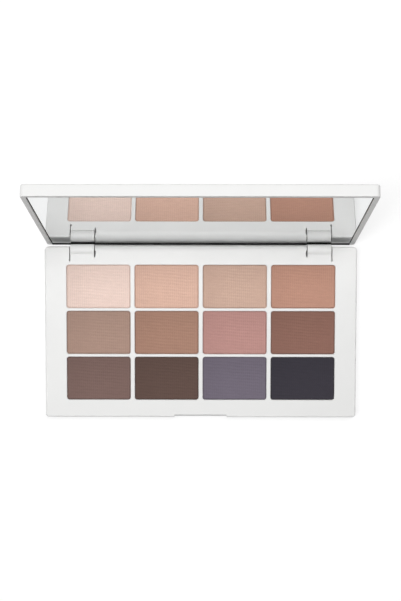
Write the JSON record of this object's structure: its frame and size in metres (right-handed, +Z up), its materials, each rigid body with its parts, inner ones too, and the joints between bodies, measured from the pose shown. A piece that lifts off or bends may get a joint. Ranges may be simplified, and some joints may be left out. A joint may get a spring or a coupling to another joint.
{
  "type": "eyeshadow palette",
  "caption": "Flat hinged eyeshadow palette, open, with a grid of pressed powders in metal pans and a full-size mirror in the lid.",
  "frame": {"origin": "centre of the base's underside, on the table plane", "axes": "+X along the hinge towards the user's right, +Y from the thumb notch to the hinge, +Z up out of the powders"},
  "size_m": [0.13, 0.0951, 0.0722],
  "materials": {
    "case_plastic": "fine matte moulded white",
    "label_paper": "uncoated, blank",
    "magnet": "nickel plated",
    "pin_steel": "drawn wire",
    "pan_tin": "tin plated sheet",
    "glue": "set hot-melt",
    "mirror_glass": "polished silvered glass",
    "tape": "foam tape",
    "powder_r1c1": "matte pressed powder",
    "powder_r1c2": "matte pressed powder",
    "powder_r1c3": "matte pressed powder",
    "powder_r1c4": "matte pressed powder",
    "powder_r2c1": "matte pressed powder",
    "powder_r2c2": "matte pressed powder",
    "powder_r2c3": "matte pressed powder",
    "powder_r2c4": "matte pressed powder",
    "powder_r3c1": "matte pressed powder",
    "powder_r3c2": "matte pressed powder",
    "powder_r3c3": "matte pressed powder",
    "powder_r3c4": "matte pressed powder"
  },
  "bodies": {
    "base": {"base_shell": "case_plastic", "bottom_cover": "case_plastic", "underside_label": "label_paper", "base_magnet_left": "magnet", "base_magnet_right": "magnet", "hinge_pin_left": "pin_steel", "hinge_pin_right": "pin_steel", "pan_r1c1": "pan_tin", "powder_r1c1": "powder_r1c1", "pan_glue_r1c1": "glue", "pan_r1c2": "pan_tin", "powder_r1c2": "powder_r1c2", "pan_glue_r1c2": "glue", "pan_r1c3": "pan_tin", "powder_r1c3": "powder_r1c3", "pan_glue_r1c3": "glue", "pan_r1c4": "pan_tin", "powder_r1c4": "powder_r1c4", "pan_glue_r1c4": "glue", "pan_r2c1": "pan_tin", "powder_r2c1": "powder_r2c1", "pan_glue_r2c1": "glue", "pan_r2c2": "pan_tin", "powder_r2c2": "powder_r2c2", "pan_glue_r2c2": "glue", "pan_r2c3": "pan_tin", "powder_r2c3": "powder_r2c3", "pan_glue_r2c3": "glue", "pan_r2c4": "pan_tin", "powder_r2c4": "powder_r2c4", "pan_glue_r2c4": "glue", "pan_r3c1": "pan_tin", "powder_r3c1": "powder_r3c1", "pan_glue_r3c1": "glue", "pan_r3c2": "pan_tin", "powder_r3c2": "powder_r3c2", "pan_glue_r3c2": "glue", "pan_r3c3": "pan_tin", "powder_r3c3": "powder_r3c3", "pan_glue_r3c3": "glue", "pan_r3c4": "pan_tin", "powder_r3c4": "powder_r3c4", "pan_glue_r3c4": "glue"},
    "lid": {"lid_shell": "case_plastic", "mirror": "mirror_glass", "mirror_tape": "tape", "lid_magnet_left": "magnet", "lid_magnet_right": "magnet"}
  },
  "joints": [
    {"name": "lid_hinge", "type": "hinge", "parent": "base", "child": "lid", "pos_m": [0, 0.03415, 0.0054], "axis": [1, 0, 0], "range_deg": [0, 105]}
  ]
}
